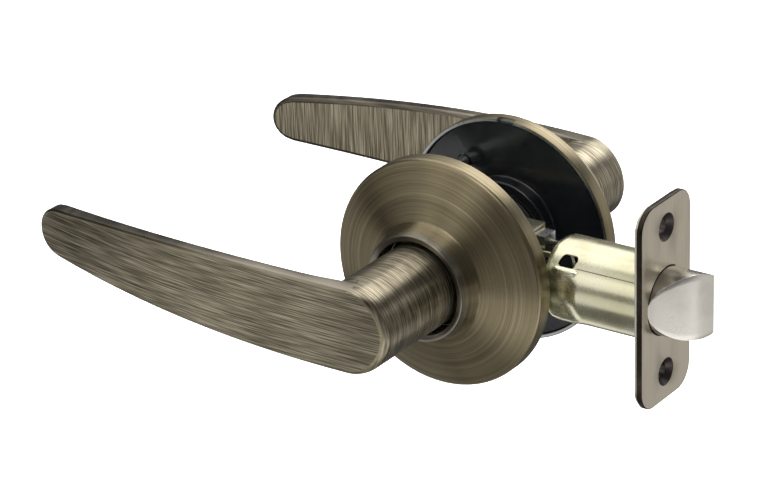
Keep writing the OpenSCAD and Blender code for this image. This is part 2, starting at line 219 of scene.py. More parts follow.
def evaluated_mesh(obj):
    """New mesh of an object as its modifiers or bevel shape it."""
    bpy.context.view_layer.update()
    shaped = obj.evaluated_get(bpy.context.evaluated_depsgraph_get())
    return bpy.data.meshes.new_from_object(shaped)


def apply_modifiers(obj):
    mesh = evaluated_mesh(obj)
    obj.modifiers.clear()
    obj.data = mesh


def rod(start, end, r, sides):
    """Closed cylinder between two points."""
    start, end = Vector(start), Vector(end)
    axis = (end - start).normalized()
    side = axis.orthogonal().normalized()
    other = axis.cross(side)
    verts = []
    for centre in (start, end):
        verts += [tuple(centre + r * (side * cos(a) + other * sin(a))) for a in even_angles(sides)]
    faces = [(i, (i + 1) % sides, sides + (i + 1) % sides, sides + i) for i in range(sides)]
    faces += [tuple(reversed(range(sides))), tuple(range(sides, 2 * sides))]
    return verts, faces


# Material helpers
def add(tree, kind, inputs=None, **settings):
    """Adds a node. inputs maps a socket's name or number to a value or to another node's output."""
    node = tree.nodes.new(kind)
    for key, value in settings.items():
        setattr(node, key, value)
    for key, value in (inputs or {}).items():
        if isinstance(value, bpy.types.NodeSocket):
            tree.links.new(value, node.inputs[key])
        else:
            node.inputs[key].default_value = value
    return node


def maths(tree, operation, *values):
    return add(tree, "ShaderNodeMath", dict(enumerate(values)), operation=operation).outputs[0]


def vector_maths(tree, operation, *values):
    return add(tree, "ShaderNodeVectorMath", dict(enumerate(values)), operation=operation).outputs[0]


def new_material(name):
    """Material, its node tree and its shader."""
    material = bpy.data.materials.new(name)
    material.use_nodes = True
    tree = material.node_tree
    shader = tree.nodes["Principled BSDF"]
    return material, tree, shader


def place_coords(tree):
    """Coordinates in the object's own frame, in metres."""
    return add(tree, "ShaderNodeTexCoord").outputs["Object"]


def ramp(tree, value, stops):
    """Colour ramp through (position, (r, g, b)) stops."""
    node = add(tree, "ShaderNodeValToRGB", {"Fac": value})
    elements = node.color_ramp.elements
    elements[0].position, elements[0].color = stops[0][0], (*stops[0][1], 1)
    elements[1].position, elements[1].color = stops[-1][0], (*stops[-1][1], 1)
    for position, colour in stops[1:-1]:
        elements.new(position).color = (*colour, 1)
    return node.outputs["Color"]


def noise(tree, vector, detail):
    """Noise of a vector that carries its own scale along each axis, spread to about -1 to 1."""
    raw = add(tree, "ShaderNodeTexNoise", {"Vector": vector, "Scale": 1.0, "Detail": detail}).outputs["Fac"]
    return maths(tree, "MULTIPLY_ADD", raw, 4.0, -2.0)


def scaled(tree, vector, scale):
    return vector_maths(tree, "MULTIPLY", vector, scale)


def mixed(tree, *terms):
    """Sum of (noise, weight) terms about a half."""
    total = 0.5
    for value, weight in terms:
        total = maths(tree, "MULTIPLY_ADD", value, weight, total)
    return total


def straight_grain(tree, along):
    """Coordinates whose first axis runs along the grain, and the direction across it."""
    xyz = add(tree, "ShaderNodeSeparateXYZ", {0: place_coords(tree)})
    order = {"X": ("X", "Y", "Z"), "Y": ("Y", "X", "Z"), "Z": ("Z", "Y", "X")}[along]
    grain = add(tree, "ShaderNodeCombineXYZ", {i: xyz.outputs[a] for i, a in enumerate(order)}).outputs[0]
    across = {"X": (0, 1, 0), "Y": (1, 0, 0), "Z": (0, 1, 0)}[along]
    return grain, across


def turned_grain(tree, flat):
    """Coordinates of grain that runs round Z, spaced by radius on a flat face and by height on a wall."""
    xyz = add(tree, "ShaderNodeSeparateXYZ", {0: place_coords(tree)})
    in_plane = add(tree, "ShaderNodeCombineXYZ", {0: xyz.outputs[0], 1: xyz.outputs[1]}).outputs[0]
    radial = vector_maths(tree, "NORMALIZE", in_plane)
    radius = add(tree, "ShaderNodeVectorMath", {0: in_plane}, operation="LENGTH").outputs["Value"]
    spaced = radius if flat else xyz.outputs[2]
    around = add(tree, "ShaderNodeSeparateXYZ", {0: radial})
    # the grain's length is measured on a circle of this radius, in metres
    circle_r = 0.02
    grain = add(tree, "ShaderNodeCombineXYZ", {
        0: maths(tree, "MULTIPLY", around.outputs[0], circle_r),
        1: spaced,
        2: maths(tree, "MULTIPLY", around.outputs[1], circle_r)}).outputs[0]
    across = radial if flat else (0, 0, 1)
    return grain, across


def brushed(name, grain_of, colours, run=80, streak=0.38, band=0.015, blotch=0.1,
            rough=0.36, shine=0.7, relief=0.25, hub_highlight=0.0):
    """Brushed, antiqued metal.

    fine is streaks across a metre and run is streaks along it. streak, band and blotch weigh hair lines,
    wider bands and soft clouds in its tone. Its last argument lightens it towards the hub's end, a painted
    highlight.
    """
    fine = 3000
    band_run, band_fine, cloud_size = 0.35 * run, 0.22 * fine, 45
    hub_highlight_start, hub_highlight_end = -0.062, -0.03
    material, tree, shader = new_material(name)
    grain, across = grain_of(tree)
    hair = noise(tree, scaled(tree, grain, (run, fine, run)), 3.0)
    bands = noise(tree, scaled(tree, grain, (band_run, band_fine, band_run)), 3.0)
    cloud = noise(tree, scaled(tree, place_coords(tree), (cloud_size,) * 3), 2.0)
    tone = mixed(tree, (hair, streak), (bands, band), (cloud, blotch))
    # painted highlight: the tone grows lighter towards the hub's end
    if hub_highlight:
        along = add(tree, "ShaderNodeSeparateXYZ", {0: place_coords(tree)}).outputs[0]
        toward_hub = add(tree, "ShaderNodeMapRange", {0: along, 1: hub_highlight_start, 2: hub_highlight_end}).outputs[0]
        tone = maths(tree, "MULTIPLY_ADD", toward_hub, hub_highlight, tone)
    tree.links.new(ramp(tree, tone, colours), shader.inputs["Base Color"])
    shader.inputs["Metallic"].default_value = 1.0
    roughness = maths(tree, "MULTIPLY_ADD", hair, 0.05, rough)
    tree.links.new(maths(tree, "MULTIPLY_ADD", cloud, 0.03, roughness), shader.inputs["Roughness"])
    shader.inputs["Anisotropic"].default_value = shine
    tangent = add(tree, "ShaderNodeVectorTransform", {0: across},
                  vector_type="VECTOR", convert_from="OBJECT", convert_to="WORLD").outputs[0]
    tree.links.new(tangent, shader.inputs["Tangent"])
    bump = add(tree, "ShaderNodeBump", {"Strength": relief, "Distance": 0.00005, "Height": hair})
    tree.links.new(bump.outputs[0], shader.inputs["Normal"])
    return material


def plated(name, colours, rough, size=120, metallic=1.0, relief=0.15, mottle=0.25):
    """Plated, cast or moulded surface with soft mottling and fine marks, counted across a metre."""
    marks_size = 3000
    material, tree, shader = new_material(name)
    coords = place_coords(tree)
    cloud = noise(tree, scaled(tree, coords, (size,) * 3), 4.0)
    marks = noise(tree, scaled(tree, coords, (marks_size,) * 3), 2.0)
    tone = mixed(tree, (cloud, mottle), (marks, 0.12))
    tree.links.new(ramp(tree, tone, colours), shader.inputs["Base Color"])
    shader.inputs["Metallic"].default_value = metallic
    roughness = maths(tree, "MULTIPLY_ADD", cloud, 0.05, rough)
    tree.links.new(maths(tree, "MULTIPLY_ADD", marks, 0.03, roughness), shader.inputs["Roughness"])
    bump = add(tree, "ShaderNodeBump", {"Strength": relief, "Distance": 0.00004, "Height": marks})
    tree.links.new(bump.outputs[0], shader.inputs["Normal"])
    return material


# Materials: colour ramps from the darkest to the lightest tone, then the materials that use them
BRASS = [(0.0, (0.05, 0.042, 0.029)), (0.35, (0.15, 0.129, 0.09)), (0.6, (0.33, 0.292, 0.21)),
         (1.0, (0.72, 0.65, 0.5))]
ROSETTE = [(0.0, (0.055, 0.042, 0.025)), (0.35, (0.14, 0.116, 0.071)), (0.6, (0.285, 0.24, 0.149)),
           (1.0, (0.68, 0.58, 0.39))]
COLLAR = [(0.0, (0.055, 0.048, 0.038)), (0.35, (0.15, 0.135, 0.108)), (0.6, (0.31, 0.284, 0.234)),
          (1.0, (0.7, 0.65, 0.56))]
# Darker brass: on the levers' edge walls it is painted shade
BRASS_DARK = [(0.0, (0.02, 0.017, 0.013)), (0.5, (0.085, 0.072, 0.055)), (1.0, (0.36, 0.32, 0.25))]
# Lighter brass for the levers' edge rows: wear, together with a painted edge highlight
BRASS_WEAR_AND_HIGHLIGHT = [(0.0, (0.12, 0.1, 0.065)), (0.5, (0.3, 0.265, 0.17)), (1.0, (0.66, 0.6, 0.4))]
# Near-black: painted shade on the faceplate's edges and in the gap round the bolt
EDGE_DARK = [(0.0, (0.008, 0.006, 0.005)), (0.5, (0.03, 0.024, 0.018)), (1.0, (0.12, 0.1, 0.08))]
PLATE = [(0.0, (0.37, 0.328, 0.252)), (0.5, (0.55, 0.495, 0.39)), (1.0, (0.73, 0.665, 0.53))]

lever_face = brushed("lever_face_brushed", lambda t: straight_grain(t, "X"), BRASS)
lever_back = brushed("lever_back_brushed", lambda t: straight_grain(t, "Y"), BRASS)
# The blade's edge walls: darker brass as painted shade, graded lighter towards the hub as a painted
# highlight
lever_edge = brushed("lever_edge_painted_shading", lambda t: straight_grain(t, "X"), BRASS_DARK,
                     streak=0.1, band=0.1, rough=0.3, shine=0.4, relief=0.1, hub_highlight=0.35)
# Lighter brass on the lever's edge rows: wear, together with a painted edge highlight
lever_wear_and_highlight = brushed("lever_edge_wear_and_highlight", lambda t: straight_grain(t, "X"), BRASS_WEAR_AND_HIGHLIGHT, streak=0.1,
                     band=0.1, blotch=0.3, rough=0.4, shine=0.3, relief=0.1)
lever_neck = brushed("lever_neck_brushed", lambda t: turned_grain(t, False), BRASS)
lever_inside = plated("lever_socket_cast", BRASS_DARK, rough=0.5)
rosette_face = brushed("rosette_face_brushed", lambda t: turned_grain(t, True), ROSETTE,
                       run=32, streak=0.13, band=0.07, blotch=0.06, shine=0.88)
rosette_wall = brushed("rosette_rim_brushed", lambda t: turned_grain(t, False), ROSETTE,
                       run=32, streak=0.14, band=0.07, blotch=0.08)
rosette_collar = brushed("rosette_collar_brushed", lambda t: turned_grain(t, False), COLLAR,
                         run=32, streak=0.14, band=0.07, blotch=0.08, rough=0.3)
rosette_worn = brushed("rosette_worn_edge", lambda t: turned_grain(t, True), ROSETTE, run=32,
                       streak=0.1, band=0.06, blotch=0.14, rough=0.32, shine=0.3, relief=0.1)
rosette_inside = plated("rosette_inside_zinc", [(0.0, (0.3, 0.31, 0.3)), (1.0, (0.62, 0.64, 0.63))],
                        rough=0.3)
plate_face = brushed("faceplate_satin", lambda t: straight_grain(t, "Z"), PLATE, run=90,
                     streak=0.1, band=0.06, blotch=0.12, rough=0.34, shine=0.4, relief=0.1)
# The faceplate's edges and bolt-hole wall: near-black, painted shade
plate_edge = plated("faceplate_edge_painted_shade", EDGE_DARK, rough=0.35)
# Near-black walls of the screw holes: painted shade in the holes
countersink = plated("screw_hole_painted_shade", [(0.0, (0.02, 0.018, 0.02)), (1.0, (0.14, 0.12, 0.11))],
                     rough=0.35)
pale_steel = plated("pale_steel", [(0.0, (0.4, 0.39, 0.32)), (1.0, (0.68, 0.66, 0.57))], rough=0.3)
bolt_nickel = plated("bolt_satin_nickel", [(0.0, (0.56, 0.53, 0.47)), (1.0, (0.86, 0.825, 0.755))],
                     rough=0.23, size=90, relief=0.02, mottle=0.3)
yellow_zinc = plated("yellow_zinc", [(0.0, (0.46, 0.41, 0.24)), (0.5, (0.68, 0.65, 0.45)),
                                     (1.0, (0.86, 0.83, 0.68))], rough=0.24, size=70, relief=0.03)
seam_line = plated("tube_seam_dark", [(0.0, (0.05, 0.045, 0.02)), (1.0, (0.32, 0.3, 0.2))],
                   rough=0.5, mottle=0.5)
zinc_plate = plated("zinc_plate", [(0.0, (0.3, 0.33, 0.24)), (1.0, (0.62, 0.62, 0.52))], rough=0.34)
bright_steel = plated("bright_zinc", [(0.0, (0.42, 0.42, 0.42)), (1.0, (0.76, 0.76, 0.75))], rough=0.25)
spring_steel = plated("spring_wire", [(0.0, (0.14, 0.14, 0.14)), (1.0, (0.4, 0.4, 0.39))], rough=0.3)
die_cast = plated("die_cast_zinc", [(0.0, (0.26, 0.26, 0.24)), (1.0, (0.5, 0.49, 0.46))], rough=0.45,
                  size=400, relief=0.5)
black_liner = plated("black_gloss_liner", [(0.0, (0.0025, 0.0028, 0.003)), (1.0, (0.007, 0.0078, 0.0098))],
                     rough=0.16, metallic=0.0, relief=0.05)
black_oxide = plated("black_oxide", [(0.0, (0.015, 0.015, 0.015)), (1.0, (0.06, 0.06, 0.06))], rough=0.4)
nylon = plated("natural_nylon", [(0.0, (0.52, 0.5, 0.43)), (1.0, (0.72, 0.7, 0.63))],
               rough=0.5, metallic=0.0)

SLOT_MATERIALS = {
    "antique_brass_lever": lever_face, "antique_brass_rosette": rosette_face,
    "antique_brass_plate": plate_face, "pale_steel": pale_steel, "bolt_nickel": bolt_nickel,
    "yellow_zinc": yellow_zinc, "zinc_plate": zinc_plate, "bright_steel": bright_steel,
    "spring_steel": spring_steel, "die_cast_zinc": die_cast, "black_liner": black_liner,
    "black_oxide": black_oxide, "nylon": nylon,
}
for subpart in frame["record"]["subparts"]:
    shown = nodes[subpart["node"]].data
    shown.materials.clear()
    shown.materials.append(SLOT_MATERIALS[subpart["material_slot"]])
    finish_shading(shown, 32)


# Levers
def face_height(x, reach):
    """Height of a lever's bowed outer face above the door."""
    return reach - FACE_BOW_R + sqrt(FACE_BOW_R ** 2 - (x - FACE_BOW_X) ** 2)


def back_height(x, reach):
    """Height of its bowed door side."""
    return reach - BLADE_THICK - BACK_BOW_R + sqrt(BACK_BOW_R ** 2 - (x - BACK_BOW_X) ** 2)


def blade_columns():
    """Upper half of the outline from the hub's end to the tip: x, half width and outward normal."""
    hub_steps, edge_steps, tip_steps = 30, 66, 16
    tip_x = -LEVER_LENGTH + TIP_R
    lean = asin(-tip_x / BLADE_EDGE_R)
    columns = []
    for i in range(hub_steps + 1):
        a = pi / 2 * i / hub_steps
        columns.append((NECK_R * cos(a), NECK_R * sin(a), cos(a), sin(a)))
    for i in range(1, edge_steps + 1):
        a = lean * i / edge_steps
        columns.append((-BLADE_EDGE_R * sin(a), NECK_R - BLADE_EDGE_R * (1 - cos(a)), -sin(a), cos(a)))
    for i in range(1, tip_steps + 1):
        a = pi / 2 + lean + (pi / 2 - lean) * i / tip_steps
        columns.append((tip_x + TIP_R * cos(a), TIP_R * sin(a), cos(a), sin(a)))
    return columns, hub_steps


# Places in a lever's list of materials
# The last place is lighter brass on edge rows: wear, together with a painted edge highlight
FACE, EDGE, BACK, NECK, INSIDE, WEAR_AND_HIGHLIGHT = range(6)


def lever(name, body, replaced, place, reach, foot):
    """Bowed blade on a round, hollow neck. Its face fillet starts at a slight crease."""
    back_fillet, neck_fillet, foot_fillet, crease = 1.3, 0.9, 0.5, radians(35)
    face_drop, hub_drop = 0.8, 0.5      # height of the face fillet, and what the hub's end adds
    face_wide, hub_wide = 0.8, 1.3      # its width, and what the hub's end adds
    back_run = 16                       # length over which the back fillet grows from the neck
    across, fillet_steps, neck_rows = 60, 5, 14
    columns, hub_end = blade_columns()
    last = len(columns) - 1
    verts, faces, mats = [], [], []

    def vert(x, y, z):
        verts.append((x, y, z))
        return len(verts) - 1

    def strip(row_a, row_b, mat):
        for i in range(len(row_a) - 1):
            quad = (row_a[i], row_a[i + 1], row_b[i + 1], row_b[i])
            faces.append(quad)
            mats.append(mat)

    def shoulder(nx):
        """Width of the face's edge fillet, widest round the hub's end."""
        return face_wide + hub_wide * smoothstep(nx, 0.0, 1.0)

    # Outer face: a row of points across each column, inside the edge fillet
    grid = []
    for x, y, nx, ny in columns:
        xi, yi = x - shoulder(nx) * nx, y - shoulder(nx) * ny
        grid.append([vert(xi, yi * t, face_height(xi, reach))
                     for t in (2 * j / across - 1 for j in range(across + 1))])
    for a, b in zip(grid, grid[1:]):
        strip(a, b, FACE)

    # Walls: for each side, rows of the edge fillet, then the straight wall, then the back fillet
    back_grid = []
    neck_right = {}
    for side in (-1, 1):
        rows = []
        for k, (x, y, nx, ny) in enumerate(columns):
            row = [grid[k][0 if side < 0 else across]]
            wide, drop = shoulder(nx), face_drop + hub_drop * smoothstep(nx, 0.0, 1.0)
            for j in range(1, fillet_steps + 1):
                phi = crease + (pi / 2 - crease) * j / fillet_steps
                inset = wide * (1 - sin(phi)) / (1 - sin(crease))
                px, py = x - inset * nx, y - inset * ny
                fall = drop * (1 - cos(phi) / cos(crease))
                row.append(vert(px, side * py, face_height(px, reach) - fall))
            if k >= hub_end:
                r = back_fillet * smoothstep(-x, 0, back_run)
                for j in range(fillet_steps + 1):
                    phi = pi / 2 * j / fillet_steps
                    px, py = x - nx * r * (1 - cos(phi)), y - ny * r * (1 - cos(phi))
                    row.append(vert(px, side * py, back_height(px, reach) + r * (1 - sin(phi))))
            else:
                row.append(vert(x, side * y, back_height(0, reach)))
            rows.append(row)
        for k in range(last):
            a, b = rows[k], rows[k + 1]
            shared = min(len(a), len(b))
            for j in range(shared - 1):
                # the first row takes lighter brass, wear with a painted edge highlight; the rest of the
                # blade's walls take darker brass, painted shade
                mat = WEAR_AND_HIGHLIGHT if j < 1 else (EDGE if k >= hub_end else NECK)
                faces.append((a[j], a[j + 1], b[j + 1], b[j]))
                mats.append(mat)
        neck_right[side] = [row[fillet_steps + 1] for row in rows[:hub_end + 1]]
        back_grid.append([row[-1] for row in rows[hub_end:]])

    # Door side of the blade: columns bend from the neck's circle to straight lines across
    bend_length = 30.0
    angles = [pi * (j / across - 0.5) for j in range(across + 1)]
    grid_back = []
    for k, (x, y, nx, ny) in enumerate(columns[hub_end:]):
        r = back_fillet * smoothstep(-x, 0, back_run)
        xi, yi = x - nx * r, y - ny * r
        ease = max(0.0, 1 + xi / bend_length) ** 2
        row = [back_grid[0][k]]
        for a in angles[1:-1]:
            swell = neck_fillet * cos(a) ** 2
            px = xi - (NECK_R + swell) * cos(a) * ease
            py = (yi + swell * ease) * sin(a)
            row.append(vert(px, py, back_height(px, reach)))
        row.append(back_grid[1][k])
        grid_back.append(row)
    for a, b in zip(grid_back, grid_back[1:]):
        strip(a, b, BACK)

    # Fillet where the door side meets the neck, then the neck's left half
    ring_row = grid_back[0]
    for j in range(1, fillet_steps + 1):
        phi = pi / 2 * j / fillet_steps
        row = [ring_row[0]]
        for a in angles[1:-1]:
            swell = neck_fillet * cos(a) ** 2
            r = NECK_R + swell * (1 - sin(phi))
            row.append(vert(-r * cos(a), r * sin(a),
                            back_height(-(NECK_R + swell) * cos(a), reach) - swell * (1 - cos(phi))))
        row.append(ring_row[-1])
        strip(ring_row, row, NECK)
        ring_row = row
    left = ring_row
    right = list(reversed(neck_right[-1]))[:-1] + neck_right[1]
    # right runs from the lower joint round the hub's end to the upper joint, as left does the other way
    right[0], right[-1] = left[0], left[-1]
    top = right + list(reversed(left[1:-1]))
    wall_foot = foot + foot_fillet

    def ring_at(make):
        return [make(verts[i]) for i in top]

    def down(fraction):
        def make(v):
            scale = NECK_R / hypot(v[0], v[1])
            return vert(v[0] * scale, v[1] * scale, v[2] + (wall_foot - v[2]) * fraction)
        return make

    def at_radius(r, z):
        def make(v):
            scale = r / hypot(v[0], v[1])
            return vert(v[0] * scale, v[1] * scale, z)
        return make

    rings = [(ring_at(down(i / neck_rows)), NECK) for i in range(1, neck_rows + 1)]
    # the neck's foot fillet takes the lighter brass: wear, together with a painted edge highlight
    for i in range(1, fillet_steps + 1):
        phi = pi / 2 * i / fillet_steps
        rings.append((ring_at(at_radius(NECK_R - foot_fillet * (1 - cos(phi)),
                                        wall_foot - foot_fillet * sin(phi))), WEAR_AND_HIGHLIGHT))
    # the socket, chamfered at its mouth and at its end
    for r, z in ((SOCKET_R + 0.4, foot), (SOCKET_R, foot + 0.4),
                 (SOCKET_R, SOCKET_TOP - 0.5), (SOCKET_R - 0.5, SOCKET_TOP)):
        rings.append((ring_at(at_radius(r, z)), INSIDE))
    previous = top
    for ring, mat in rings:
        strip(previous + previous[:1], ring + ring[:1], mat)
        previous = ring
    faces.append(tuple(previous))
    mats.append(INSIDE)

    obj = piece(name, verts, faces, body, replaced,
                [lever_face, lever_edge, lever_back, lever_neck, lever_inside, lever_wear_and_highlight], mats, place, 30)
    # The set screw's hole always faces the floor
    down_side = place.inverted().to_3x3() @ Vector((0, 0, -1))
    start = Vector((0, 0, SET_SCREW_H))
    cut_holes(obj, [rod(start, start + down_side * (NECK_R + 1), SET_SCREW_R, 40)])
    finish_shading(obj.data, 30)


lever("exterior_lever_casting", "exterior_handle", "exterior_lever",
      EXTERIOR @ Matrix.Rotation(-radians(EXTERIOR_RISE), 4, "Z"), EXTERIOR_REACH, EXTERIOR_FOOT)
lever("interior_lever_casting", "interior_handle", "interior_lever", INTERIOR,
      INTERIOR_REACH, INTERIOR_FOOT)


# Rosettes, with the places in their list of materials
DOME, WALL, RIM_EDGE, UNDERSIDE, COLLAR_WALL = range(5)


def rosette(name, body, replaced, place, notch):
    """Pressed shell: straight rim, shallow dome, steep collar with a rolled lip.

    notch is the height of a pry notch in the rim at local -Y, or 0.
    """
    corners = [
        (ROSETTE_R, 0, 0.2), (ROSETTE_R, RIM_H + 0.85, 1.3), (27, 6.5, 25), (22, 8.2, 25),
        (16.55, 9.75, 1.0), (15.3, 14.2, 2), (15.0, LIP_H, 0.4), (14.6, LIP_H, 0.2),
        (13.1, LIP_H - 0.55, 0.5), (13.3, 13.4, 0.5),
        (14.4, 10.2, 1.0), (15.4, 9.0, 1.0), (22, 7.1, 25), (27, 5.4, 25),
        (ROSETTE_R - SHEET, RIM_H + 0.2, 0.8), (ROSETTE_R - SHEET, 0, 0.2),
    ]
    steps = 8
    outline = rounded(corners, steps)
    angles = even_angles(256)
    middle, half = 1.5 * pi, asin(2.5 / ROSETTE_R)
    if notch:
        # rows close together on each side make the notch's ends steep
        angles = [a for a in angles if not half <= abs(a - middle) <= half + 0.01]
        angles = sorted(angles + [middle + s * e for s in (-1, 1) for e in (half, half + 0.006)])

    def height(a, w):
        inside = notch and abs(a - middle) <= half + 1e-6
        return max(w, notch) if inside else w

    verts, faces = revolve(outline, angles, height)
    # each material ends at a point of the outline, which runs from the rim's foot over the lip to the inside
    per_corner = steps + 1
    ends = [(WALL, per_corner), (RIM_EDGE, 2 * per_corner - 1), (DOME, 5 * per_corner),
            (COLLAR_WALL, 9 * per_corner), (UNDERSIDE, len(outline))]
    along = [next(mat for mat, end in ends if j < end) for j in range(len(outline))]
    piece(name, verts, faces, body, replaced,
          [rosette_face, rosette_wall, rosette_worn, rosette_inside, rosette_collar],
          along * len(angles), place, 40)


rosette("exterior_rosette_shell", "exterior_half", "exterior_rosette", EXTERIOR, 0)
rosette("interior_rosette_shell", "interior_half", "interior_rosette", INTERIOR, 1.4)


# Black liner behind the interior rosette
def liner():
    """Gloss plate inside the interior rosette, with a round boss and its bearing land."""
    face, top, land = 1.1, 2.2, -0.9
    boss_r, boss_low, land_r, bearing_r = 15.0, -2.7, 12.0, 8.6
    rim = ROSETTE_R - SHEET - 0.05
    outline = rounded([
        (rim, face, 0.3), (rim, top, 0.2), (bearing_r, top, 0.1), (bearing_r, land, 0.1),
        (land_r, land, 0.1), (land_r, boss_low, 0.4), (boss_r, boss_low, 0.6), (boss_r, face, 0.6)])
    verts, faces = revolve(outline, even_angles(192))
    obj = piece("interior_liner_plate", verts, faces, "interior_half", "interior_liner",
                [black_liner], None, INTERIOR, 35)
    holes = []
    for a in (radians(-POST_ANGLE), radians(-POST_ANGLE) + pi):
        x, y = POST_CIRCLE_R * cos(a), POST_CIRCLE_R * sin(a)
        holes.append(rod((x, y, -1), (x, y, 4), MOUNT_HOLE_R, 32))
    cut_holes(obj, holes)
    finish_shading(obj.data, 35)


liner()


# Latch plates, drawn as (width along Y, height along Z) and thickened along X
def plate_outline(grow):
    w, h, c = PLATE_W / 2 + grow, PLATE_H / 2 + grow, PLATE_CORNER + grow
    return rounded([(w, h, c), (-w, h, c), (-w, -h, c), (w, -h, c)], 16)


def circle(r, z, count):
    return [(r * cos(a), z + r * sin(a)) for a in even_angles(count)]


def bolt_hole(grow):
    """Round hole cut off by the bolt's flat side."""
    gap, corner, steps = 0.12, 0.1, 80
    r, flat = BOLT_R + gap + grow, BOLT_FLAT + gap + grow
    first = acos(flat / r) + 0.01
    around = [(r * cos(a), r * sin(a)) for a in
              (first + (2 * pi - 2 * first) * i / steps for i in range(steps + 1))]
    end = sqrt(r * r - flat * flat)
    return around + [(flat, -end + corner), (flat, 0), (flat, end - corner)]


def plate(name, replaced, flat_mat, loops):
    """Flat plate with holes.

    loops holds, for the outline and each hole, a function of growth, its (growth, x) rows and its material.
    """
    verts, faces, face_mats, caps = [], [], [], ([], [])
    mats = [flat_mat]
    for shape, rows, mat in loops:
        if mat not in mats:
            mats.append(mat)
        previous = None
        for grow, x in rows:
            points = shape(grow)
            start = len(verts)
            verts += [(x, u, v) for u, v in points]
            row = list(range(start, start + len(points)))
            if previous:
                for i in range(len(row)):
                    k = (i + 1) % len(row)
                    faces.append((previous[i], previous[k], row[k], row[i]))
                    face_mats.append(mats.index(mat))
            else:
                caps[0].append(row)
            previous = row
        caps[1].append(previous)
    mesh = bpy.data.meshes.new(name)
    mesh.from_pydata([Vector(v) / 1000 for v in verts], [], faces)
    mesh.polygons.foreach_set("material_index", face_mats)
    bm = bmesh.new()
    bm.from_mesh(mesh)
    bm.verts.ensure_lookup_table()
    for rows in caps:
        edges = []
        for row in rows:
            edges += [bm.edges.get((bm.verts[a], bm.verts[b])) for a, b in zip(row, row[1:] + row[:1])]
        made = bmesh.ops.triangle_fill(bm, use_beauty=True, use_dissolve=False, edges=edges)
        for face in made["geom"]:
            if isinstance(face, bmesh.types.BMFace):
                face.material_index = 0
    bmesh.ops.recalc_face_normals(bm, faces=bm.faces)
    bm.to_mesh(mesh)
    bm.free()
    for mat in mats:
        mesh.materials.append(mat)
    finish_shading(mesh, 35)
    stand_for(add_object(name, mesh), "latch_case", replaced)


def edge_rows(x_back, x_front, front, back, sign):
    """Rows of a rounded edge. sign is 1 for a hole, which grows as it opens, and -1 for an outline."""
    steps = [i * pi / 8 for i in range(5)]
    rows = [(sign * front * (1 - sin(a)), x_front - front * (1 - cos(a))) for a in steps]
    return rows + [(sign * back * (1 - cos(a)), x_back + back * (1 - sin(a))) for a in steps]


def screw_hole(side):
    """Hole above (side 1) or below (side -1) the bolt, as a function of its radius."""
    return lambda r: circle(r, side * SCREW_SPACING / 2, 64)


def faceplate():
    # the plate's rounded edges and the bolt hole's wall are near-black, painted shade
    loops = [(plate_outline, edge_rows(PLATE_BACK, PLATE_FRONT, 0.3, 0.1, -1), plate_edge),
             (bolt_hole, edge_rows(PLATE_BACK, PLATE_FRONT, 0.2, 0.1, 1), plate_edge)]
    sink_r = 3.9                # countersink at the plate's front
    for side in (-1, 1):
        rows = [(sink_r, PLATE_FRONT), (sink_r - 0.14, PLATE_FRONT - 0.06),
                (SCREW_HOLE_R + 0.1, PLATE_BACK + 0.1), (SCREW_HOLE_R, PLATE_BACK)]
        # the countersink's cone and throat are near-black, painted shade
        loops.append((screw_hole(side), rows, countersink))
    plate("latch_faceplate_plate", "latch_faceplate", plate_face, loops)


def backplate():
    margin = 0.7                # by which it is smaller than the faceplate, all round
    loops = [(lambda grow: plate_outline(grow - margin),
              edge_rows(BACKPLATE_BACK, PLATE_BACK, 0.1, 0.15, -1), pale_steel),
             (lambda grow: circle(TUBE_R + grow, 0, 96),
              edge_rows(BACKPLATE_BACK, PLATE_BACK, 0.02, 0.1, 1), pale_steel)]
    # each screw hole is pressed through into a short collar behind the plate
    collar = BACKPLATE_BACK - 1.1
    for side in (-1, 1):
        rows = [(SCREW_HOLE_R, PLATE_BACK), (SCREW_HOLE_R, collar),
                (SCREW_HOLE_R + 0.6, collar), (SCREW_HOLE_R + 1.3, BACKPLATE_BACK)]
        # the hole's wall is near-black, painted shade in the hole
        loops.append((screw_hole(side), rows, countersink))
    plate("latch_backplate_plate", "latch_backplate", pale_steel, loops)


faceplate()
backplate()


# Bolt: cross sections from its hollow back to its bevelled tip
def bevel_arc():
    """Centre, radius and end angles of the bevel, seen from above."""
    r, tip_thick = 40.0, 0.7
    foot = Vector((PLATE_FRONT, -BOLT_R + 0.25))
    tip = Vector((BOLT_TIP, BOLT_FLAT - tip_thick))
    chord = tip - foot
    lean = atan2(chord.y, chord.x)
    half = asin(chord.length / 2 / r)
    centre = foot + r * Vector((-sin(lean - half), cos(lean - half)))
    return centre, r, lean - half - pi / 2, lean + half - pi / 2


def bolt_section(x, bevel_y, shrink):
    """Section across the latch: round above and below, cut by the bevel and by the flat side."""
    r, flat = BOLT_R - shrink, BOLT_FLAT - shrink
    # the bevel always cuts a little, so that every section has the same points
    bevel_y = max(bevel_y + shrink, -r + 0.02)
    flat_a, bevel_a = acos(flat / r), acos(bevel_y / r)
    round_steps, flat_steps = 22, 10
    top = [(r * cos(a), r * sin(a)) for a in
           (flat_a + (bevel_a - flat_a) * i / round_steps for i in range(round_steps + 1))]
    bottom = [(y, -z) for y, z in reversed(top)]
    front_z, flat_z = top[-1][1], top[0][1]
    front = [(bevel_y, front_z * (1 - 2 * i / flat_steps)) for i in range(1, flat_steps)]
    side = [(flat, -flat_z * (1 - 2 * i / flat_steps)) for i in range(1, flat_steps)]
    return [(x, y, z) for y, z in top + front + bottom + side]


